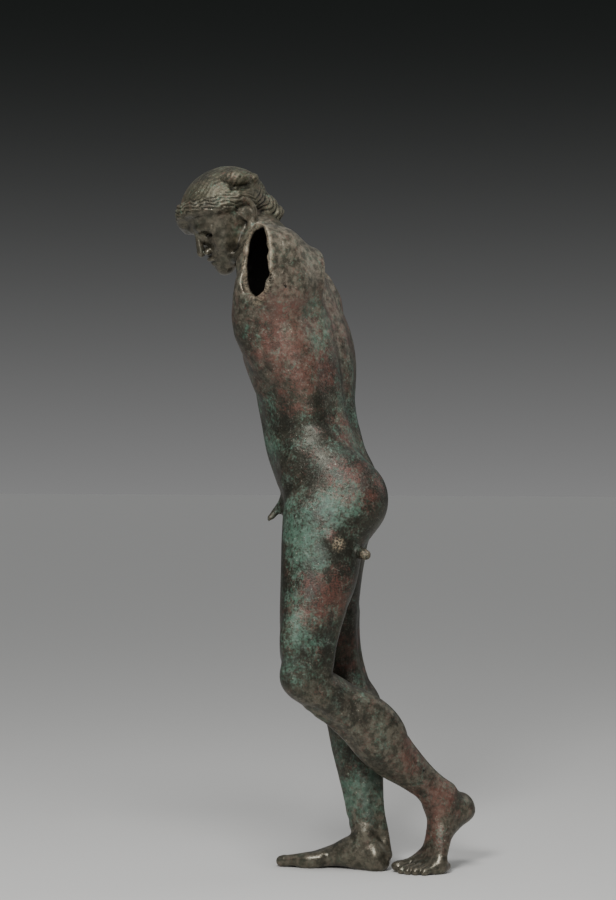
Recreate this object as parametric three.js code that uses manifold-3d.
// A life-size bronze youth, walking with bowed head. It is one hollow casting that stands on its own
// feet, and both arms are broken away at the shoulder.
// Millimetres, +Z up. The figure faces -Y and its left side is +X.
//
// The body is sculpted as the casting's wax would be: limbs with measured sections, muscles and locks
// are laid over each other and their seams are smoothed, and hollows are pressed in. The skin is then
// netted over that form, thinned to few facets and cut flat where the soles stand on the ground.
import * as THREE from "three";
import Module from "manifold-3d";

// Driving dimensions
const STATURE = 1506;
const FOOT_LENGTH = 247;
const SHOULDER_OPENING = [146, 90];
const RIGHT_SHOULDER_OPENING = [112, 86];
const WALL = 10.5;
const HEAD_PITCH = 36;
const HEAD_YAW = 40;
const RIGHT_FOOT_TURN = -4;
const LEFT_FOOT_TURN = 52;
const LEFT_TOES_TURN = 42;
const LEFT_HEEL_LIFT = 47;
const RAISED_ARCH = 11;

// Places of the joints, from the midline's foot on the ground
const RIGHT_HEEL = [-43, 168, 0];
const LEFT_BALL = [-51, 251, 0];
const LEFT_KNEE = [106, 24, 409];
const LEFT_ANKLE = [-80, 272, 152];
const LEFT_SHIN_FACES = 33;
const SKULL = [-41, -193, 1413];
const LEFT_ARM_ROOT = [130, -78, 1291];

// The net over the form: layers are closer together at the head and at the feet
const FINE_STEP = 5.5;
const BODY_STEP = 9;
const FINE_BELOW = 120;
const FINE_ABOVE = 1190;
const STEP_FADE = 60;
const BELOW_GROUND = 14;
const HEADROOM = 24;
const TRIANGLES = 8600;

// How much more a facet counts, where small forms show
const HEAD_ABOVE = 1290;
const HEAD_WEIGHT = 5;
const FOOT_WEIGHT = 2.5;
const SOLE_WEIGHT = 400;
const FLAT_WITHIN = 0.1;

const BRONZE = new THREE.MeshStandardMaterial({ color: 0x5a5443, roughness: 0.5, metalness: 0.9 });
const FAR = 60;
const SIDES = [1, -1];

// Frames

function placed(origin, tilt = [0, 0, 0], parent = new THREE.Matrix4()) {
  const [rx, ry, rz] = tilt.map(THREE.MathUtils.degToRad);
  const turn = new THREE.Matrix4().makeRotationFromEuler(new THREE.Euler(rx, ry, rz, "ZYX"));
  return parent.clone().multiply(turn.setPosition(...origin));
}

function framed(origin, up, front) {
  // z runs along up, and -y lies as near front as it can
  const z = up.clone().normalize();
  const y = front.clone().addScaledVector(z, -front.dot(z)).normalize().negate();
  const x = new THREE.Vector3().crossVectors(y, z);
  return new THREE.Matrix4().makeBasis(x, y, z).setPosition(origin);
}

function inFrame(frame, point) {
  return new THREE.Vector3(...point).applyMatrix4(frame).toArray();
}

// Smooth curves through stations

class Stations {
  constructor(knots, rows) {
    this.knots = knots;
    this.rows = rows;
    this.slopes = rows.map((row, i) => row.map((_, c) => this.slope(i, c)));
    this.value = new Float64Array(rows[0].length);
  }

  slope(i, c) {
    const last = this.knots.length - 1;
    const rise = (j) => (this.rows[j + 1][c] - this.rows[j][c]) / this.span(j);
    if (i === 0) return rise(0);
    if (i === last) return rise(last - 1);
    const total = this.span(i - 1) + this.span(i);
    return (rise(i - 1) * this.span(i) + rise(i) * this.span(i - 1)) / total;
  }

  span(i) {
    return this.knots[i + 1] - this.knots[i];
  }

  at(along) {
    const { knots, rows, slopes, value } = this;
    const w = Math.min(Math.max(along, knots[0]), knots[knots.length - 1]);
    let i = 0;
    while (i < knots.length - 2 && knots[i + 1] <= w) i += 1;
    const span = this.span(i);
    const t = (w - knots[i]) / span;
    const ease = t * t * (3 - 2 * t);
    const leave = span * t * (1 - t) * (1 - t);
    const arrive = span * t * t * (t - 1);
    for (let c = 0; c < value.length; c += 1) {
      const straight = rows[i][c] * (1 - ease) + rows[i + 1][c] * ease;
      value[c] = straight + slopes[i][c] * leave + slopes[i + 1][c] * arrive;
    }
    return value;
  }
}

// Forms: each gives the signed distance from its surface, and negative is inside

const local = new THREE.Vector3();

class Form {
  constructor({ frame = new THREE.Matrix4(), blend = 10, cut = false }) {
    this.frame = frame;
    this.inverse = frame.clone().invert();
    this.blend = blend;
    this.cut = cut;
  }

  reachOver(low, high) {
    this.reach = new THREE.Box3(new THREE.Vector3(...low), new THREE.Vector3(...high));
    this.reach.applyMatrix4(this.frame).expandByScalar(this.blend + 14);
  }

  distance(point) {
    return this.inside(local.copy(point).applyMatrix4(this.inverse));
  }
}

// A limb has stations [along, x, y, front, back, left, right, turn] along its frame's z axis
class Limb extends Form {
  constructor(rows, { squareness = 2.1, end = 4, ...rest } = {}) {
    super(rest);
    const full = rows.map((row) => [...row.slice(1), ...Array(8 - row.length).fill(0)]);
    this.stations = new Stations(rows.map((row) => row[0]), full);
    this.first = rows[0][0];
    this.last = rows[rows.length - 1][0];
    this.n = squareness;
    this.end = end;
    const most = (c) => Math.max(...full.map((row) => row[c]));
    const least = (c) => Math.min(...full.map((row) => row[c]));
    const r = Math.max(most(2), most(3), most(4), most(5));
    this.reachOver([least(0) - r, least(1) - r, this.first], [most(0) + r, most(1) + r, this.last]);
  }

  inside({ x, y, z }) {
    const [cx, cy, front, back, left, right, turn] = this.stations.at(z);
    const angle = THREE.MathUtils.degToRad(turn);
    const u = (x - cx) * Math.cos(angle) + (y - cy) * Math.sin(angle);
    const v = (y - cy) * Math.cos(angle) - (x - cx) * Math.sin(angle);
    const rx = u > 0 ? left : right;
    const ry = v < 0 ? front : back;
    const a = Math.abs(u) / rx;
    const b = Math.abs(v) / ry;
    const level = (a ** this.n + b ** this.n) ** (1 / this.n) + 1e-9;
    const slope = Math.hypot(a ** (this.n - 1) / rx, b ** (this.n - 1) / ry);
    const steepness = slope * level ** (1 - this.n) + 1e-9;
    const side = Math.max((level - 1) / steepness, -Math.min(rx, ry)) + this.end;
    const cap = Math.max(this.first - z, z - this.last) + this.end;
    return Math.min(Math.max(side, cap), 0) + Math.hypot(Math.max(side, 0), Math.max(cap, 0)) - this.end;
  }

  // The point at a height, so far to the left and back of the limb's axis
  spot(along, left, back) {
    const [cx, cy, , , , , turn] = this.stations.at(along);
    const angle = THREE.MathUtils.degToRad(turn);
    const x = cx + left * Math.cos(angle) - back * Math.sin(angle);
    const y = cy + left * Math.sin(angle) + back * Math.cos(angle);
    return inFrame(this.frame, [x, y, along]);
  }
}

class Ball extends Form {
  constructor(centre, radii, { tilt, frame, ...rest } = {}) {
    super({ frame: placed(centre, tilt, frame), ...rest });
    this.radii = radii;
    this.reachOver(radii.map((r) => -r), radii);
  }

  inside({ x, y, z }) {
    const [rx, ry, rz] = this.radii;
    const level = Math.hypot(x / rx, y / ry, z / rz) + 1e-9;
    const steepness = Math.hypot(x / rx ** 2, y / ry ** 2, z / rz ** 2) + 1e-9;
    return Math.max((level * (level - 1)) / steepness, -Math.min(rx, ry, rz));
  }
}

// A tube follows a smooth line through points, with a radius at each
class Tube extends Form {
  constructor(points, radii, options = {}) {
    super(options);
    const rows = points.map((point, i) => [...point, radii[i]]);
    const line = new Stations(rows.map((_, i) => i), rows);
    const steps = 4 * (rows.length - 1);
    this.beads = Array.from({ length: steps + 1 }, (_, i) => [...line.at(i / 4)]);
    const most = Math.max(...radii);
    const bound = (pick, grow) => [0, 1, 2].map((c) => pick(...this.beads.map((bead) => bead[c])) + grow);
    this.reachOver(bound(Math.min, -most), bound(Math.max, most));
  }

  inside({ x, y, z }) {
    let nearest = FAR * 10;
    for (let i = 1; i < this.beads.length; i += 1) {
      const [ax, ay, az, ar] = this.beads[i - 1];
      const [bx, by, bz, br] = this.beads[i];
      const [dx, dy, dz] = [bx - ax, by - ay, bz - az];
      const along = ((x - ax) * dx + (y - ay) * dy + (z - az) * dz) / (dx * dx + dy * dy + dz * dz + 1e-9);
      const t = Math.min(Math.max(along, 0), 1);
      const gap = Math.hypot(x - ax - t * dx, y - ay - t * dy, z - az - t * dz);
      nearest = Math.min(nearest, gap - ar - (br - ar) * t);
    }
    return nearest;
  }
}

// A group is modelled on its own and then joined to the rest along one seam
class Group {
  constructor(forms, blend) {
    this.forms = forms;
    this.blend = blend;
    this.cut = false;
    this.reach = new THREE.Box3();
    forms.filter((form) => !form.cut).forEach((form) => this.reach.union(form.reach));
    this.reach.expandByScalar(blend);
  }

  distance(point) {
    return fieldOf(this.forms, point);
  }
}

function smoothMin(a, b, blend) {
  const near = Math.max(blend - Math.abs(a - b), 0) / blend;
  return Math.min(a, b) - near * near * blend * 0.25;
}

function fieldOf(forms, point) {
  let depth = FAR;
  for (const form of forms) {
    if (!form.reach.containsPoint(point)) continue;
    const own = form.distance(point);
    depth = form.cut ? -smoothMin(-depth, own, form.blend) : smoothMin(depth, own, form.blend);
  }
  return depth;
}

// Trunk: hips, belly, ribs, back and the slope of the shoulders

const TRUNK = new Limb([
  [690, -38, 38, 72, 62, 96, 98, 10],
  [730, -45, 38, 86, 82, 120, 122, 10],
  [775, -52, 36, 98, 90, 136, 138, 9],
  [820, -55, 32, 106, 95, 139, 141, 7],
  [865, -53, 22, 107, 100, 132, 134, 4],
  [910, -49, 8, 104, 93, 121, 124, 0],
  [955, -50, -6, 98, 88, 114, 117, -4],
  [1000, -49, -18, 94, 92, 117, 119, -7],
  [1050, -48, -29, 91, 99, 126, 127, -10],
  [1105, -46, -40, 99, 108, 137, 136, -12],
  [1160, -44, -53, 85, 109, 144, 141, -14],
  [1215, -41, -66, 63, 99, 144, 138, -15],
  [1265, -38, -79, 56, 89, 130, 120, -16],
  [1310, -36, -91, 50, 80, 98, 92, -16],
  [1350, -36, -103, 48, 68, 64, 62, -16],
], { blend: 20, squareness: 2.2, end: 20 });

const onTrunk = (height, left, back) => TRUNK.spot(height, left, back);

// Points given as [height, left, back] on the trunk
const alongTrunk = (points) => points.map((point) => onTrunk(...point));

function chest() {
  const breasts = [
    new Ball(onTrunk(1184, 64, -23), [76, 34, 52], { blend: 30, tilt: [14, 0, 5] }),
    new Ball(onTrunk(1178, -62, -27), [74, 34, 52], { blend: 30, tilt: [14, 0, -35] }),
  ];
  const ribArches = SIDES.map((side) => {
    const line = alongTrunk([[1128, side * 20, -80], [1090, side * 54, -68], [1040, side * 88, -44]]);
    return new Tube(line, [22, 22, 22], { blend: 32 });
  });
  return [...breasts, ...ribArches];
}

function belly() {
  return SIDES.map((side) => {
    const line = [[1070, 26, -66], [1010, 30, -68], [950, 30, -72], [890, 26, -80], [840, 14, -82]];
    const points = alongTrunk(line.map(([height, left, back]) => [height, side * left, back]));
    return new Tube(points, [24, 25, 26, 27, 22], { blend: 22 });
  });
}

function flanks() {
  return SIDES.map((side) => {
    const crest = [[838, 88, -70], [868, 102, -48], [898, 108, -14], [918, 96, 28], [932, 66, 54]];
    const points = alongTrunk(crest.map(([height, left, back]) => [height, side * left, back]));
    return new Tube(points, [14, 18, 22, 22, 18], { blend: 36 });
  });
}

function back() {
  const columns = SIDES.map((side) => {
    const line = [
      [850, 26, 58], [920, 30, 60], [1000, 34, 66],
      [1090, 38, 76], [1180, 38, 76], [1260, 32, 66],
    ];
    const points = alongTrunk(line.map(([height, left, deep]) => [height, side * left, deep]));
    return new Tube(points, [24, 27, 29, 30, 28, 24], { blend: 26 });
  });
  const broadMuscles = [
    [[990, 84, 34], [1080, 96, 42], [1170, 112, 40], [1225, 128, 14]],
    [[990, -84, 34], [1080, -96, 42], [1160, -106, 36], [1205, -118, 4]],
  ].map((line) => new Tube(alongTrunk(line), [34, 44, 41, 34], { blend: 40 }));
  const shoulderBlades = [
    new Ball(onTrunk(1240, 84, 54), [54, 30, 66], { blend: 26, tilt: [-16, 14, 22] }),
    new Ball(onTrunk(1215, -80, 38), [48, 25, 58], { blend: 26, tilt: [-16, -14, -54] }),
  ];
  const nape = alongTrunk([[1180, 0, 72], [1262, 0, 52], [1314, 0, 24]]);
  const napeMuscle = new Tube(nape, [26, 33, 33], { blend: 30 });
  return [...columns, ...broadMuscles, ...shoulderBlades, napeMuscle];
}

function trunkHollows() {
  const spine = alongTrunk([
    [850, 0, 98], [880, 0, 98], [950, 0, 100], [1020, 0, 108],
    [1100, 0, 122], [1180, 0, 124], [1250, 0, 114], [1300, 0, 102],
  ]);
  const breastbone = alongTrunk([[1230, 0, -88], [1180, 0, -96], [1120, 0, -106]]);
  const bellyLine = alongTrunk([[1085, 0, -104], [1030, 0, -104], [975, 0, -108]]);
  const groins = SIDES.map((side) => {
    const line = [[852, 92, -90], [830, 76, -102], [806, 56, -110], [788, 38, -110]];
    const points = alongTrunk(line.map(([height, left, deep]) => [height, side * left, deep]));
    return new Tube(points, [4, 5, 5, 4], { blend: 26, cut: true });
  });
  return [
    new Tube(spine, [5, 6, 7, 7, 7, 6, 5, 4], { blend: 26, cut: true }),
    new Tube(breastbone, [5, 7, 6], { blend: 16, cut: true }),
    new Tube(bellyLine, [5, 6, 6], { blend: 16, cut: true }),
    new Ball(onTrunk(952, 0, -108), [6, 12, 6], { blend: 6, cut: true }),
    ...groins,
  ];
}

// Hips and seat

function seat() {
  return [
    new Ball([14, 112, 792], [74, 66, 80], { blend: 36, tilt: [0, 0, 14] }),
    new Ball([-112, 60, 800], [72, 66, 78], { blend: 36, tilt: [0, 0, 0] }),
    new Ball([40, 66, 838], [42, 58, 62], { blend: 44 }),
    new Ball([-142, 22, 844], [42, 58, 62], { blend: 44 }),
    new Ball([36, 70, 742], [66, 66, 60], { blend: 30 }),
    new Ball([-114, 48, 750], [64, 66, 60], { blend: 30 }),
    new Tube([[-62, 140, 836], [-60, 148, 800], [-56, 146, 750], [-48, 122, 712]], [6, 9, 10, 9],
      { blend: 14, cut: true }),
  ];
}

function lap() {
  return [
    new Ball(onTrunk(775, 0, -80), [34, 26, 32], { blend: 20 }),
    new Tube(alongTrunk([[790, 0, -92], [772, 0, -112], [750, 2, -132]]), [14, 9.5, 6], { blend: 12 }),
  ];
}

// Shoulders: each arm ends in a ragged socket that shows the thin wall of the casting

const LEFT_ARM = framed(
  new THREE.Vector3(...LEFT_ARM_ROOT),
  new THREE.Vector3(0.731, -0.682, 0.06),
  new THREE.Vector3(0, 0.09, -1),
);
const RIGHT_ARM = framed(
  new THREE.Vector3(...onTrunk(1222, -142, -71)), new THREE.Vector3(-0.66, -0.62, -0.42),
  new THREE.Vector3(0, 0.09, -1));

function armSocket(frame, [height, width], depth) {
  const [tall, wide] = [height / 2, width / 2];
  const [full, broad] = [tall + WALL, wide + WALL];
  const root = [
    [-depth, -18, -12, tall * 0.9, tall * 0.78, wide * 1.2, wide * 0.95],
    [-depth * 0.73, -10, -8, tall, tall * 0.86, wide * 1.25, wide * 1.1],
    [-depth * 0.47, -2, 0, full, tall * 1.02, broad + 5, broad + 3],
    [0, 0, 0, full, full, broad, broad],
  ];
  const hollow = [
    [-60, -4, 4, tall * 0.7, tall * 0.66, wide * 0.72, wide * 0.68],
    [-30, 0, 0, tall * 0.94, tall * 0.86, wide * 0.95, wide * 0.92],
    [14, 0, 0, tall, tall, wide, wide],
  ];
  return {
    root: new Limb(root, { frame, blend: 44, end: 3 }),
    hollow: new Limb(hollow, { frame, blend: 5, end: 4, squareness: 2.5, cut: true }),
  };
}

function shoulderTops() {
  const left = [onTrunk(1308, 20, 9), onTrunk(1299, 66, -4), inFrame(LEFT_ARM, [-14, 44, -73])];
  const right = [onTrunk(1314, -20, 14), onTrunk(1286, -76, -8), inFrame(RIGHT_ARM, [5, 4, -63])];
  return [
    new Tube(left, [34, 30, 26], { blend: 36 }),
    new Tube(right, [36, 34, 29], { blend: 36 }),
  ];
}

function chestToArms() {
  const left = [onTrunk(1176, 50, -30), onTrunk(1220, 104, -24), inFrame(LEFT_ARM, [10, -40, -30])];
  const right = [onTrunk(1176, -50, -38), onTrunk(1200, -100, -44), inFrame(RIGHT_ARM, [-10, -30, -30])];
  return [
    new Tube(left, [30, 26, 23], { blend: 30 }),
    new Tube(right, [30, 26, 22], { blend: 30 }),
  ];
}

// The broad muscle that spreads from the flank to the raised arm
function armpits() {
  const left = [inFrame(LEFT_ARM, [0, -42, -78]), onTrunk(1170, 122, -14), onTrunk(1096, 108, -6)];
  const right = [inFrame(RIGHT_ARM, [0, -28, -70]), onTrunk(1140, -112, -16), onTrunk(1080, -102, -8)];
  return [
    new Tube(left, [38, 42, 36], { blend: 44 }),
    new Tube(right, [30, 36, 34], { blend: 44 }),
  ];
}

function collarBones() {
  const left = [onTrunk(1296, 14, -64), onTrunk(1310, 56, -64), inFrame(LEFT_ARM, [-26, 44, -44])];
  const right = [onTrunk(1292, -14, -64), onTrunk(1290, -56, -64), inFrame(RIGHT_ARM, [26, 34, -44])];
  return [left, right].map((line) => new Tube(line, [9, 8, 9], { blend: 16 }));
}

// Right leg: it stands, and carries the figure's weight

const RIGHT_LEG = new Limb([
  [66, -57, 118, 40, 46, 31, 31, 4],
  [100, -59, 112, 35, 39, 29, 29, 4],
  [150, -63, 107, 35, 37, 31, 31, 4],
  [205, -68, 97, 42, 44, 37, 37, 4],
  [250, -75, 89, 49, 54, 44, 44, 4],
  [300, -81, 84, 54, 60, 48, 48, 4],
  [345, -86, 73, 54, 58, 49, 49, 4],
  [385, -88, 60, 50, 53, 45, 46, 4],
  [420, -91, 48, 50, 52, 46, 47, 4],
  [455, -94, 37, 54, 52, 48, 48, 4],
  [500, -98, 26, 60, 56, 52, 52, 4],
  [560, -101, 20, 69, 66, 60, 60, 3],
  [620, -104, 17, 76, 75, 67, 67, 2],
  [690, -107, 18, 82, 84, 74, 70, 0],
  [760, -113, 20, 80, 80, 70, 66, 0],
  [815, -112, 20, 66, 70, 60, 56, 0],
], { blend: 24, end: 30 });

function rightLegMuscles() {
  const at = (height, left, deep) => RIGHT_LEG.spot(height, left, deep);
  const hamstrings = SIDES.map((side) => new Tube(
    [at(540, side * 24, 44), at(455, side * 24, 38), at(390, side * 22, 34)], [10, 9, 8], { blend: 30 }));
  return [
    new Ball(at(440, 2, -38), [25, 20, 27], { blend: 18 }),
    new Ball(at(480, 26, -36), [26, 32, 42], { blend: 18, tilt: [6, 0, 0] }),
    new Ball(at(510, -28, -34), [26, 32, 56], { blend: 24 }),
    new Tube([at(412, 1, -46), at(385, 1, -48)], [12, 9], { blend: 12 }),
    new Tube(
      [at(385, 4, -48), at(300, 8, -50), at(200, 6, -38), at(120, 2, -30)], [9, 8, 7, 7], { blend: 14 }),
    new Ball(at(318, 20, 34), [29, 32, 66], { blend: 14, tilt: [3, 0, 0] }),
    new Ball(at(330, -20, 32), [28, 31, 60], { blend: 14, tilt: [3, 0, 0] }),
    new Tube(
      [at(200, 0, 38), at(130, 0, 34), at(70, 0, 38), at(34, 0, 38)], [13, 9.5, 10, 15], { blend: 12 }),
    new Ball(at(74, 28, -2), [9, 15, 16], { blend: 18 }),
    new Ball(at(62, -29, 6), [9, 14, 17], { blend: 16 }),
    ...hamstrings,
    new Ball(at(452, 0, 62), [13, 12, 34], { blend: 14, cut: true }),
  ];
}

// Left leg: it trails, bent at the knee, with the heel high

const LEFT_THIGH = new Limb([
  [424, 103, 26, 46, 48, 44, 43, 26],
  [450, 99, 25, 53, 52, 48, 46, 26],
  [485, 94, 25, 57, 54, 52, 50, 26],
  [535, 85, 29, 66, 63, 60, 57, 24],
  [605, 72, 41, 80, 77, 68, 66, 20],
  [665, 58, 46, 87, 82, 74, 70, 14],
  [720, 48, 46, 88, 84, 76, 68, 8],
  [780, 42, 42, 80, 80, 70, 60, 4],
  [820, 36, 38, 64, 66, 56, 50, 4],
], { blend: 24, end: 26 });

const SHIN_FACES = THREE.MathUtils.degToRad(LEFT_SHIN_FACES);
const LEFT_SHANK_FRAME = framed(
  new THREE.Vector3(...LEFT_ANKLE),
  new THREE.Vector3(...LEFT_KNEE).sub(new THREE.Vector3(...LEFT_ANKLE)),
  new THREE.Vector3(Math.sin(SHIN_FACES), -Math.cos(SHIN_FACES), 0));

const LEFT_SHANK = new Limb([
  [-10, 0, 2, 20, 28, 25, 25],
  [20, 0, 1, 25, 30, 27, 27],
  [54, 0, 0, 26, 33, 30, 30],
  [93, 0, 0, 31, 40, 35, 35],
  [132, 0, 0, 40, 49, 41, 41],
  [176, 0, 0, 45, 61, 48, 48],
  [219, 0, 0, 42, 70, 51, 51],
  [258, 0, 0, 32, 70, 50, 50],
  [311, 0, 0, 28, 64, 47, 47],
  [366, 0, 0, 32, 56, 46, 46],
  [392, 0, 0, 36, 50, 44, 44],
], { frame: LEFT_SHANK_FRAME, blend: 10, squareness: 2.05, end: 14 });

function leftLegMuscles() {
  const onThigh = (height, left, deep) => LEFT_THIGH.spot(height, left, deep);
  const onShank = (along, left, deep) => LEFT_SHANK.spot(along, left, deep);
  const hamstrings = SIDES.map((side) => new Tube(
    [onThigh(560, side * 29, 44), onThigh(490, side * 28, 42), onThigh(440, side * 25, 38)], [16, 11, 9],
    { blend: 18 }));
  const calfHeads = [[20, 44, 236, 74], [-20, 44, 226, 80]].map(([left, deep, along, tall]) => new Ball(
    [left, deep, along], [28, 33, tall], { frame: LEFT_SHANK_FRAME, blend: 22 }));
  return [
    new Ball(onThigh(500, 30, -30), [26, 36, 60], { blend: 22, tilt: [2, 0, 26] }),
    new Ball(onThigh(475, -26, -24), [24, 26, 44], { blend: 22, tilt: [4, 0, 26] }),
    ...hamstrings,
    new Ball([105, 20, 416], [46, 46, 46], { blend: 18 }),
    new Ball([122, -3, 426], [26, 24, 29], { blend: 16 }),
    new Tube([onShank(366, 0, -28), onShank(338, 0, -26)], [12, 10], { blend: 12 }),
    new Tube([onShank(340, 3, -26), onShank(260, 6, -30), onShank(170, 5, -38), onShank(90, 3, -26),
      onShank(40, 2, -20)], [10, 8, 7, 7, 6], { blend: 14 }),
    ...calfHeads,
    new Tube([onShank(140, 0, 36), onShank(80, 0, 30), onShank(36, 0, 28), onShank(0, 0, 27)],
      [12, 10, 9.5, 12], { blend: 20 }),
  ];
}

// What is left of two struts behind the left thigh
function strutStubs() {
  return [
    new Tube([[60, 112, 690], [80, 138, 682], [88, 148, 679]], [14, 12, 11], { blend: 7 }),
    new Tube([[119, 74, 712], [107, 88, 704], [96, 101, 700]], [8, 11, 8], { blend: 12 }),
    new Tube([[117, 83, 721], [108, 94, 714]], [5, 5], { blend: 5 }),
    new Tube([[118, 84, 702], [106, 97, 694]], [5, 5], { blend: 5 }),
  ];
}

// Feet. A foot's frame has its origin under the back of the heel, with the toes towards -y.
// Its outline is the same for both feet, and side is 1 on the left foot.

// Stations from heel to toes: [along, offset outwards, top, bottom, outer half, inner half]
const FOOT_SECTIONS = [
  [4, 0, 40, 2, 17, 17],
  [18, 0, 58, -4, 28, 27],
  [40, 1, 74, -5, 31, 29],
  [68, 2, 78, -3, 31, 29],
  [98, 3, 66, 2, 33, 28],
  [130, 5, 48, 1, 38, 30],
  [160, 4, 36, -4, 40, 37],
  [182, 3, 28, -5, 39, 38],
  [200, 3, 20, -4, 33, 31],
];

// Toes from the great toe outwards: [outwards, root, tip, height at root, at tip, radius at root, at tip]
const TOES = [
  [-26, 176, FOOT_LENGTH - 12, 17, 11, 16, 12],
  [-6, 190, FOOT_LENGTH - 9, 13, 6.5, 10.5, 9],
  [9, 187, FOOT_LENGTH - 15, 12, 6, 10, 8.5],
  [22.5, 182, FOOT_LENGTH - 26, 11, 6, 9.5, 8],
  [35, 172, FOOT_LENGTH - 41, 10, 5.5, 9.5, 7.5],
];

function footBlock(frame, side, sections) {
  // The limb runs from heel to toe, so its front is the top of the foot
  const along = new THREE.Matrix4().makeBasis(
    new THREE.Vector3(-1, 0, 0), new THREE.Vector3(0, 0, -1), new THREE.Vector3(0, -1, 0));
  const rows = sections.map(([distance, offset, top, bottom, outer, inner]) => {
    const middle = (top + bottom) * 0.45;
    const [left, right] = side > 0 ? [inner, outer] : [outer, inner];
    return [distance, -side * offset, -middle, top - middle, middle - bottom, left, right];
  });
  return new Limb(rows, { frame: frame.clone().multiply(along), blend: 10, squareness: 2.2, end: 10 });
}

function toes(frame, side) {
  return TOES.map(([out, root, tip, rootHeight, tipHeight, rootRadius, tipRadius], i) => {
    const joint = root + (tip - root) * 0.55;
    const arch = i === 0 ? 4 : 5;
    const line = [
      [side * out * 0.8, -root + 26, rootHeight + 3],
      [side * out * 0.93, -root, rootHeight],
      [side * out, -joint, tipHeight + arch],
      [side * out, -tip, tipHeight],
    ];
    const radii = [rootRadius * 0.8, rootRadius, (rootRadius + tipRadius) / 2 - 1.6, tipRadius];
    return new Tube(line, radii, { frame, blend: i === 0 ? 12 : 4 });
  });
}

function heelPad(frame) {
  return new Ball([0, -28, 22], [29, 26, 26], { frame, blend: 10 });
}

function rightFoot() {
  const frame = placed(RIGHT_HEEL, [0, 0, RIGHT_FOOT_TURN]);
  const forms = [footBlock(frame, -1, FOOT_SECTIONS), heelPad(frame), ...toes(frame, -1)];
  return new Group(forms, 14);
}

function leftFoot() {
  // The toes lie flat, and the rest of the foot swings up about the ball
  const ballAt = -FOOT_LENGTH * 0.68;
  const ballHeight = 18;
  const drawnBack = 10;
  const flat = placed([0, drawnBack - ballAt, 0], [0, 0, 0], placed(LEFT_BALL, [0, 0, LEFT_TOES_TURN]));
  const turnedOut = placed(LEFT_BALL, [0, 0, LEFT_FOOT_TURN]);
  const pivot = placed([0, 0, ballHeight], [LEFT_HEEL_LIFT, 0, 0], turnedOut);
  const raised = placed([0, -ballAt, -ballHeight], [0, 0, 0], pivot);
  const ankle = [
    new Ball([22, -60, 74], [9, 14, 16], { frame: raised, blend: 20 }),
    new Ball([-23, -64, 80], [9, 14, 15], { frame: raised, blend: 20 }),
    new Ball([1, -58, 66], [28, 34, 32], { frame: raised, blend: 20 }),
    new Tube([[0, -22, 34], [0, -30, 62], [0, -52, 100]], [22, 18, 12], { frame: raised, blend: 30 }),
  ];
  const ballOfFoot = [
    new Tube([[-24, -170, 22], [0, -172, 21], [28, -164, 17]], [21, 19, 16], { frame: flat, blend: 14 }),
    new Tube([[-24, -190, 15], [0, -190, 13], [28, -180, 11]], [15, 13, 11], { frame: flat, blend: 12 }),
  ];
  const arched = FOOT_SECTIONS.slice(0, -1).map(([along, offset, top, bottom, outer, inner]) => {
    const lift = RAISED_ARCH * Math.max(0, Math.sin((Math.PI * (along - 24)) / 140));
    return [along, offset, top + lift * 0.6, bottom + lift, outer, inner];
  });
  const forms = [
    footBlock(raised, 1, arched), heelPad(raised), ...ankle, ...toes(flat, 1), ...ballOfFoot,
  ];
  return new Group(forms, 26);
}

// Head: its frame has the face towards -y and the crown towards +z

const HEAD = placed(SKULL, [HEAD_PITCH, 0, HEAD_YAW]);
const inHead = { frame: HEAD };

// Face from the chin up: [height, x, y, front, back, left, right]
const FACE = [
  [-108, 0, -62, 14, 16, 18, 18],
  [-98, 0, -60, 24, 26, 28, 28],
  [-80, 0, -52, 35, 40, 42, 42],
  [-62, 0, -44, 42, 48, 50, 50],
  [-40, 0, -38, 48, 52, 57, 57],
  [-15, 0, -32, 53, 60, 64, 64],
  [15, 0, -24, 60, 70, 68, 68],
  [50, 0, -10, 66, 70, 66, 66],
];

function mirrored(points, side) {
  return points.map(([x, y, z]) => [x * side, y, z]);
}

function face() {
  const skull = [
    new Ball([0, 8, 12], [75, 93, 80], { ...inHead, blend: 8 }),
    new Limb(FACE, { ...inHead, blend: 16, squareness: 2.2, end: 10 }),
    new Ball([0, -76, -92], [20, 15, 16], { ...inHead, blend: 14 }),
    new Ball([0, -72, -66], [30, 18, 24], { ...inHead, blend: 14 }),
  ];
  const brow = new Tube([[-48, -70, 4], [-24, -84, 12], [0, -82, 9], [24, -84, 12], [48, -70, 4]],
    [5, 6, 6, 6, 5], { ...inHead, blend: 9 });
  const nose = [
    new Tube([[0, -82, 6], [0, -93, -14], [0, -103, -36]], [7, 7.5, 9], { ...inHead, blend: 6 }),
    ...SIDES.map((side) => new Ball([side * 11, -91, -40], [7, 10, 7], { ...inHead, blend: 4 })),
  ];
  const lips = [
    new Tube([[-22, -83, -63], [-8, -92, -59], [8, -92, -59], [22, -83, -63]], [2.5, 5, 5, 2.5],
      { ...inHead, blend: 3 }),
    new Tube([[-18, -84, -70], [0, -90, -71], [18, -84, -70]], [3, 6, 3], { ...inHead, blend: 3 }),
  ];
  const cheeks = SIDES.map((side) => new Ball(
    [side * 40, -56, -34], [22, 22, 22], { ...inHead, blend: 20 }));
  const eyes = SIDES.flatMap((side) => [
    new Ball([side * 31, -92, -9], [17, 13, 11], { ...inHead, blend: 9, cut: true }),
    new Ball([side * 31, -80, -10], [13, 14, 5.5], { ...inHead, blend: 2, cut: true }),
  ]);
  return [...skull, brow, ...nose, ...lips, ...cheeks, ...eyes];
}

function ears() {
  const rim = [[75, 2, -36], [82, 14, -28], [88, 23, -8], [87, 18, 13], [83, 4, 15], [78, -2, 4]];
  return SIDES.flatMap((side) => [
    new Ball([side * 74, 12, -8], [12, 20, 28], { ...inHead, blend: 6 }),
    new Tube(mirrored(rim, side), [6, 6, 5, 5, 5, 4], { ...inHead, blend: 4 }),
  ]);
}

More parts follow.
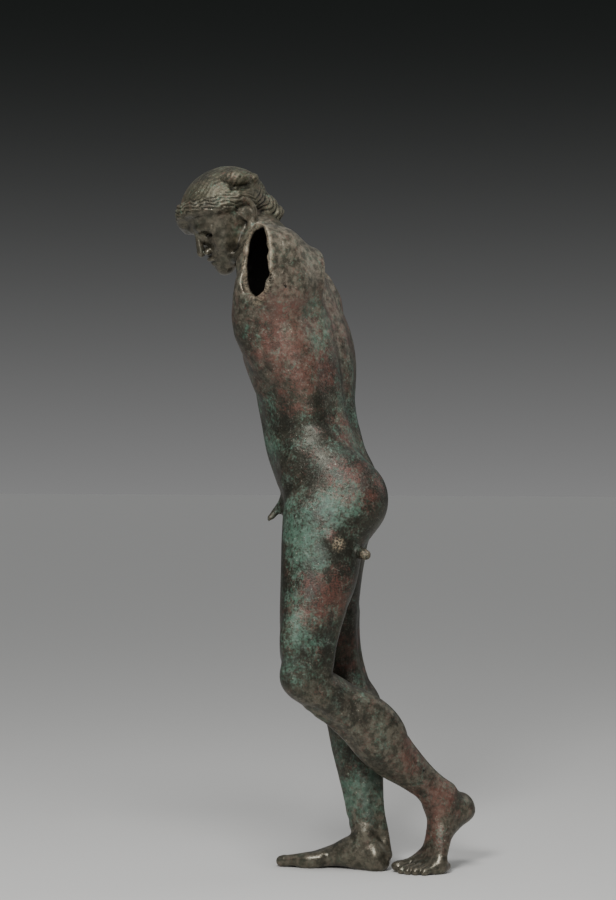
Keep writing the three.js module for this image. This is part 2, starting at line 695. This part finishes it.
// Hair: combed back over the crown, rolled in slanting locks round the face and tied behind

const CAP_CENTRE = [0, -4, 15];
const CAP_RADII = [85, 99, 85];
const STRANDS = 9;
const STRAND_SPREAD = 150;
const ROLL_LOCKS = 9;
const ROLL_SLANT = 6;

// The hair's lower edge is a slanting plane: its height at the centre, and its fall towards back and right
const HAIR_EDGE = -8;
const EDGE_FALL = [0.18, -0.64];

// The part of a ball that lies above the hair's lower edge
class Cap extends Ball {
  constructor(centre, radii, options) {
    super(centre, radii, options);
    this.centre = centre;
  }

  inside({ x, y, z }) {
    const [across, deep] = EDGE_FALL;
    const level = HAIR_EDGE + across * (x + this.centre[0]) + deep * (y + this.centre[1]);
    const below = (level - z - this.centre[2]) / Math.hypot(1, across, deep);
    return -smoothMin(-super.inside({ x, y, z }), -below, 26);
  }
}

// Each strand runs from brow to nape, in a plane turned about the line between them
function crownStrands() {
  const [x, y, z] = CAP_CENTRE;
  const [rx, ry, rz] = CAP_RADII;
  return Array.from({ length: STRANDS }, (_, i) => {
    const turn = THREE.MathUtils.degToRad((i / (STRANDS - 1) - 0.5) * STRAND_SPREAD);
    const line = [55, 80, 105, 130, 150].map((degrees) => {
      const along = THREE.MathUtils.degToRad(degrees);
      const out = Math.sin(along);
      return [x + rx * Math.sin(turn) * out, y - ry * Math.cos(along), z + rz * Math.cos(turn) * out];
    });
    return new Tube(line, [3, 6, 7, 6, 4], { ...inHead, blend: 5 });
  });
}

function faceRoll(line) {
  const path = new Stations(line.map((_, i) => i), line);
  const at = (along, lift) => {
    const [x, y, z] = path.at(along);
    return [x, y, z + lift];
  };
  return Array.from({ length: ROLL_LOCKS }, (_, i) => {
    const middle = ((i + 0.3) * (line.length - 1)) / ROLL_LOCKS;
    const lock = [at(middle - 0.6, ROLL_SLANT), at(middle, 1), at(middle + 0.6, -ROLL_SLANT)];
    return new Tube(lock, [8, 12, 8], { ...inHead, blend: 12 });
  });
}

function hair() {
  const leftRoll = [
    [0, -87, 60], [33, -76, 54], [56, -54, 43], [70, -33, 33],
    [76, -14, 27], [78, 8, 25], [70, 32, 10], [52, 54, -14],
  ];
  const rightRoll = [
    [0, -87, 60], [-30, -88, 36], [-58, -72, 14], [-75, -40, 5],
    [-78, -14, 14], [-78, 8, 16], [-70, 32, 2], [-52, 54, -20],
  ];
  const fringe = new Tube([[0, -78, 50], [-32, -72, 32], [-56, -54, 14], [-68, -28, 8]], [14, 15, 15, 12],
    { ...inHead, blend: 10 });
  const knot = [
    new Tube([[76, 10, 50], [83, 28, 42], [82, 46, 33]], [6, 9, 8], { ...inHead, blend: 5, cut: true }),
    new Tube([[54, 8, 72], [70, 28, 64], [75, 48, 51]], [9, 17, 14], { ...inHead, blend: 3 }),
    new Tube([[44, 58, 54], [48, 72, 34]], [13, 14], { ...inHead, blend: 4 }),
    new Tube([[-30, 50, 72], [-20, 74, 50]], [11, 14], { ...inHead, blend: 4 }),
  ];
  const bun = [
    new Ball([18, 63, -38], [41, 38, 37], { ...inHead, blend: 8 }),
    new Ball([42, 76, -58], [15, 15, 15], { ...inHead, blend: 3 }),
    new Ball([26, 90, -60], [14, 14, 14], { ...inHead, blend: 3 }),
    new Ball([2, 88, -68], [14, 14, 15], { ...inHead, blend: 3 }),
    new Ball([44, 60, -70], [11, 11, 12], { ...inHead, blend: 3 }),
  ];
  const cap = new Cap(CAP_CENTRE, CAP_RADII, { ...inHead, blend: 6 });
  return [cap, ...crownStrands(), fringe, ...faceRoll(leftRoll), ...faceRoll(rightRoll), ...knot, ...bun];
}

function neck() {
  const line = [onTrunk(1320, 0, 0), onTrunk(1350, 0, -6), inFrame(HEAD, [0, 22, -60])];
  return new Tube(line, [60, 54, 51], { blend: 22 });
}

// The whole figure, raised forms first and hollows after them
function figureForms() {
  const left = armSocket(LEFT_ARM, SHOULDER_OPENING, 150);
  const right = armSocket(RIGHT_ARM, RIGHT_SHOULDER_OPENING, 110);
  const body = [
    TRUNK, ...chest(), ...belly(), ...flanks(), ...back(), left.root, right.root, ...shoulderTops(),
    ...chestToArms(), ...armpits(), ...collarBones(), RIGHT_LEG, ...rightLegMuscles(),
    LEFT_THIGH, LEFT_SHANK,
    ...leftLegMuscles(), ...seat(), ...lap(), ...trunkHollows(), neck(),
  ];
  return [
    ...body.filter((form) => !form.cut), ...body.filter((form) => form.cut),
    new Group([...face(), ...hair(), ...ears()], 12), rightFoot(), leftFoot(), ...strutStubs(),
    left.hollow, right.hollow,
  ];
}

// The net: a column of layers round the figure, [height, x, y, half width, half depth]
const COLUMN = [
  [0, -40, 120, 130, 230],
  [150, -15, 160, 180, 235],
  [300, 0, 120, 200, 220],
  [500, 0, 40, 210, 180],
  [800, -40, 30, 210, 160],
  [1000, -30, -20, 230, 170],
  [1200, -20, -80, 250, 200],
  [1290, -25, -110, 250, 210],
  [1400, -28, -150, 180, 200],
  [1540, -30, -190, 150, 190],
];

function stepAt(height) {
  const inward = Math.min(height - FINE_BELOW, FINE_ABOVE - height) / STEP_FADE;
  return FINE_STEP + (BODY_STEP - FINE_STEP) * THREE.MathUtils.clamp(inward, 0, 1);
}

class Net {
  constructor(forms) {
    this.forms = forms;
    const line = new Stations(COLUMN.map((row) => row[0]), COLUMN.map((row) => row.slice(1)));
    this.layers = [];
    for (let z = -BELOW_GROUND; z < STATURE + HEADROOM; z += stepAt(z)) {
      const [x, y, halfWidth, halfDepth] = line.at(z);
      const step = stepAt(z);
      this.layers.push({ z, x, y, step, across: halfWidth / step, deep: halfDepth / step });
    }
    this.nx = 2 * Math.ceil(Math.max(...this.layers.map((layer) => layer.across))) + 1;
    this.ny = 2 * Math.ceil(Math.max(...this.layers.map((layer) => layer.deep))) + 1;
    this.values = new Float32Array(this.nx * this.ny * this.layers.length);
    this.fill();
  }

  index(i, j, k) {
    return (k * this.ny + j) * this.nx + i;
  }

  // The point at fractions of a cell, where layers above and below differ in step and place
  point(i, j, k) {
    const under = Math.min(Math.floor(k), this.layers.length - 2);
    const part = k - under;
    const [a, b] = [this.layers[under], this.layers[under + 1]];
    const across = i - (this.nx - 1) / 2;
    const deep = j - (this.ny - 1) / 2;
    return new THREE.Vector3(
      (a.x + across * a.step) * (1 - part) + (b.x + across * b.step) * part,
      (a.y + deep * a.step) * (1 - part) + (b.y + deep * b.step) * part,
      a.z * (1 - part) + b.z * part);
  }

  fill() {
    for (let k = 0; k < this.layers.length; k += 1) {
      for (let j = 0; j < this.ny; j += 1) {
        for (let i = 0; i < this.nx; i += 1) {
          this.values[this.index(i, j, k)] = fieldOf(this.forms, this.point(i, j, k));
        }
      }
    }
  }

  // One point in each cell that the surface crosses, at the middle of its crossings
  crossing(i, j, k) {
    const sum = [0, 0, 0];
    let count = 0;
    for (const [from, to] of CELL_EDGES) {
      const a = this.values[this.index(i + from[0], j + from[1], k + from[2])];
      const b = this.values[this.index(i + to[0], j + to[1], k + to[2])];
      if (a < 0 === b < 0) continue;
      const t = a / (a - b);
      for (let c = 0; c < 3; c += 1) sum[c] += from[c] + t * (to[c] - from[c]);
      count += 1;
    }
    if (count === 0) return null;
    return this.settled(this.point(i + sum[0] / count, j + sum[1] / count, k + sum[2] / count));
  }

  // One step along the slope of the form, onto its surface
  settled(point) {
    const reach = 0.5;
    const depth = fieldOf(this.forms, point);
    const slope = [0, 1, 2].map((c) => {
      const ahead = point.clone().setComponent(c, point.getComponent(c) + reach);
      return (fieldOf(this.forms, ahead) - depth) / reach;
    });
    const steepness = Math.hypot(...slope) + 1e-6;
    const step = THREE.MathUtils.clamp(depth / steepness, -FINE_STEP, FINE_STEP) / steepness;
    return point.addScaledVector(new THREE.Vector3(...slope), -step);
  }

  skin() {
    const points = [];
    const cells = new Int32Array(this.values.length).fill(-1);
    this.eachCell((i, j, k) => {
      const point = this.crossing(i, j, k);
      if (point === null) return;
      cells[this.index(i, j, k)] = points.length;
      points.push(point);
    });
    const triangles = [];
    this.eachCell((i, j, k) => {
      for (const [c, next, after] of AXES) {
        const here = [i, j, k];
        if (here[next] === 0 || here[after] === 0) continue;
        const there = [...here];
        there[c] += 1;
        const inside = this.values[this.index(...here)] < 0;
        if (inside === this.values[this.index(...there)] < 0) continue;
        const ring = RING.map(([p, q]) => {
          const cell = [...here];
          cell[next] -= p;
          cell[after] -= q;
          return cells[this.index(...cell)];
        });
        if (!inside) ring.reverse();
        triangles.push(...splitQuad(points, ring));
      }
    });
    return { points, triangles };
  }

  eachCell(visit) {
    for (let k = 0; k < this.layers.length - 1; k += 1) {
      for (let j = 0; j < this.ny - 1; j += 1) {
        for (let i = 0; i < this.nx - 1; i += 1) visit(i, j, k);
      }
    }
  }
}

const AXES = [[0, 1, 2], [1, 2, 0], [2, 0, 1]];
const RING = [[1, 1], [0, 1], [0, 0], [1, 0]];
const CELL_EDGES = AXES.flatMap(([c, next, after]) => [[0, 0], [0, 1], [1, 0], [1, 1]].map(([p, q]) => {
  const from = [0, 0, 0];
  from[next] = p;
  from[after] = q;
  const to = [...from];
  to[c] = 1;
  return [from, to];
}));

function splitQuad(points, [a, b, c, d]) {
  const short = points[a].distanceTo(points[c]) < points[b].distanceTo(points[d]);
  return short ? [[a, b, c], [a, c, d]] : [[a, b, d], [b, c, d]];
}

// Thinning: the edge whose loss changes the form least is drawn together, again and again.
// A quadric holds the squared distances from a point's planes: xx xy xz xd yy yz yd zz zd dd

function addPlane(quadric, { x, y, z }, d, weight) {
  const terms = [x * x, x * y, x * z, x * d, y * y, y * z, y * d, z * z, z * d, d * d];
  terms.forEach((term, i) => { quadric[i] += weight * term; });
}

function quadricAt([xx, xy, xz, xd, yy, yz, yd, zz, zd, dd], { x, y, z }) {
  return xx * x * x + yy * y * y + zz * z * z + dd
    + 2 * (xy * x * y + xz * x * z + yz * y * z + xd * x + yd * y + zd * z);
}

function lowestPoint([xx, xy, xz, xd, yy, yz, yd, zz, zd], otherwise) {
  const matrix = new THREE.Matrix3().set(xx, xy, xz, xy, yy, yz, xz, yz, zz);
  if (Math.abs(matrix.determinant()) < 1e-12) return otherwise;
  return new THREE.Vector3(-xd, -yd, -zd).applyMatrix3(matrix.invert());
}

class Heap {
  constructor() {
    this.items = [];
  }

  push(item) {
    const { items } = this;
    items.push(item);
    let at = items.length - 1;
    while (at > 0) {
      const parent = (at - 1) >> 1;
      if (items[parent].cost <= items[at].cost) break;
      [items[parent], items[at]] = [items[at], items[parent]];
      at = parent;
    }
  }

  pop() {
    const { items } = this;
    const top = items[0];
    const last = items.pop();
    if (items.length === 0) return top;
    items[0] = last;
    let at = 0;
    for (;;) {
      const [left, right] = [2 * at + 1, 2 * at + 2];
      let least = at;
      if (left < items.length && items[left].cost < items[least].cost) least = left;
      if (right < items.length && items[right].cost < items[least].cost) least = right;
      if (least === at) return top;
      [items[least], items[at]] = [items[at], items[least]];
      at = least;
    }
  }
}

const TETHER = 0.002;
const LEAST_SHAPE = 0.12;

class Thinning {
  constructor({ points, triangles }, weightAt) {
    this.points = points;
    this.triangles = triangles;
    this.left = triangles.length;
    this.around = points.map(() => new Set());
    this.quadrics = points.map(() => new Float64Array(10));
    this.age = new Int32Array(points.length);
    this.heap = new Heap();
    triangles.forEach((corners, t) => this.weigh(corners, t, weightAt));
    triangles.forEach(([a, b, c]) => [[a, b], [b, c], [c, a]].forEach(([p, q]) => {
      if (p < q) this.consider(p, q);
    }));
  }

  weigh(corners, t, weightAt) {
    const [a, b, c] = corners.map((p) => this.points[p]);
    const normal = crossOf(a, b, c);
    const area = normal.length() / 2;
    normal.normalize();
    const weight = (area + 1e-3) * weightAt(a, normal);
    corners.forEach((p) => {
      this.around[p].add(t);
      addPlane(this.quadrics[p], normal, -normal.dot(this.points[p]), weight);
      for (const axis of UNIT_AXES) {
        addPlane(this.quadrics[p], axis, -axis.dot(this.points[p]), weight * TETHER);
      }
    });
  }

  consider(a, b) {
    const joined = this.quadrics[a].map((term, i) => term + this.quadrics[b][i]);
    const middle = this.points[a].clone().lerp(this.points[b], 0.5);
    const target = lowestPoint(joined, middle);
    const cost = quadricAt(joined, target);
    this.heap.push({ cost, a, b, target, ageA: this.age[a], ageB: this.age[b] });
  }

  neighbours(p) {
    const found = new Set();
    this.around[p].forEach((t) => this.triangles[t].forEach((q) => found.add(q)));
    found.delete(p);
    return found;
  }

  // A collapse must leave the skin closed and no facet folded over or needle thin
  allows({ a, b, target }) {
    const nearA = this.neighbours(a);
    const shared = [...this.neighbours(b)].filter((p) => nearA.has(p));
    if (shared.length !== 2) return false;
    return [[a, b], [b, a]].every(([p, other]) => [...this.around[p]].every((t) => {
      const corners = this.triangles[t];
      if (corners.includes(other)) return true;
      const before = corners.map((q) => this.points[q]);
      const after = corners.map((q) => (q === p ? target : this.points[q]));
      return keepsShape(before, after);
    }));
  }

  collapse({ a, b, target }) {
    this.points[a] = target;
    this.quadrics[b].forEach((term, i) => { this.quadrics[a][i] += term; });
    this.around[b].forEach((t) => {
      const corners = this.triangles[t];
      if (corners.includes(a)) {
        corners.forEach((p) => this.around[p].delete(t));
        this.triangles[t] = null;
        this.left -= 1;
        return;
      }
      corners[corners.indexOf(b)] = a;
      this.around[a].add(t);
    });
    this.around[b].clear();
    this.age[a] += 1;
    this.age[b] += 1;
    this.neighbours(a).forEach((p) => this.consider(a, p));
  }

  thinTo(limit) {
    while (this.left > limit && this.heap.items.length > 0) {
      const edge = this.heap.pop();
      const fresh = this.age[edge.a] === edge.ageA && this.age[edge.b] === edge.ageB;
      if (fresh && this.allows(edge)) this.collapse(edge);
    }
    return { points: this.points, triangles: this.triangles.filter((corners) => corners !== null) };
  }
}

const UNIT_AXES = [new THREE.Vector3(1, 0, 0), new THREE.Vector3(0, 1, 0), new THREE.Vector3(0, 0, 1)];

function crossOf(a, b, c) {
  return new THREE.Vector3().subVectors(b, a).cross(new THREE.Vector3().subVectors(c, a));
}

function keepsShape(before, after) {
  const old = crossOf(...before);
  const now = crossOf(...after);
  const [a, b, c] = after;
  const edges = a.distanceToSquared(b) + b.distanceToSquared(c) + c.distanceToSquared(a);
  const wellShaped = (2 * Math.sqrt(3) * now.length()) / edges > LEAST_SHAPE;
  return wellShaped && old.dot(now) > 0.3 * old.length() * now.length();
}

// Solids

function solidFrom(wasm, { points, triangles }) {
  const vertProperties = new Float32Array(points.flatMap((point) => point.toArray()));
  const mesh = new wasm.Mesh({ numProp: 3, vertProperties, triVerts: new Uint32Array(triangles.flat()) });
  mesh.merge();
  return new wasm.Manifold(mesh);
}

function skinFrom(position, index) {
  const row = (array, i) => [...array.slice(3 * i, 3 * i + 3)];
  const rows = (array) => Array.from({ length: array.length / 3 }, (_, i) => row(array, i));
  return { points: rows(position).map((xyz) => new THREE.Vector3(...xyz)), triangles: rows(index) };
}

function groundSolid(wasm) {
  const box = new THREE.BoxGeometry(900, 900, 4 * BELOW_GROUND).translate(0, 120, -2 * BELOW_GROUND);
  return solidFrom(wasm, skinFrom(box.getAttribute("position").array, box.getIndex().array));
}

function cutAtGround(wasm, skin) {
  const { vertProperties, triVerts } = solidFrom(wasm, skin).subtract(groundSolid(wasm)).getMesh();
  return skinFrom(vertProperties, triVerts);
}

// The soles stay flat, and the head and the feet keep more of their facets
function weightAt({ z }, normal) {
  if (z < FLAT_WITHIN && normal.z < -0.99) return SOLE_WEIGHT;
  if (z > HEAD_ABOVE) return HEAD_WEIGHT;
  return z < FINE_BELOW ? FOOT_WEIGHT : 1;
}

// The figure stands on its soles, with the middle of its outline over the origin
function standing({ points, triangles }) {
  const used = [...new Set(triangles.flat())];
  const numbers = new Map(used.map((p, i) => [p, i]));
  const place = used.map((p) => points[p]);
  place.forEach((point) => { if (point.z < FLAT_WITHIN) point.z = 0; });
  const { min, max } = new THREE.Box3().setFromPoints(place);
  const geometry = new THREE.BufferGeometry().setFromPoints(place);
  geometry.setIndex(triangles.flat().map((p) => numbers.get(p)));
  return geometry.translate(-(min.x + max.x) / 2, -(min.y + max.y) / 2, 0);
}

const wasm = await Module();
wasm.setup();

const netted = new Net(figureForms()).skin();
const thinned = new Thinning(cutAtGround(wasm, netted), weightAt).thinTo(TRIANGLES);

const figure = new THREE.Mesh(standing(thinned), BRONZE);
figure.name = "figure";

const sculpture = new THREE.Group();
sculpture.add(figure);

export default sculpture;
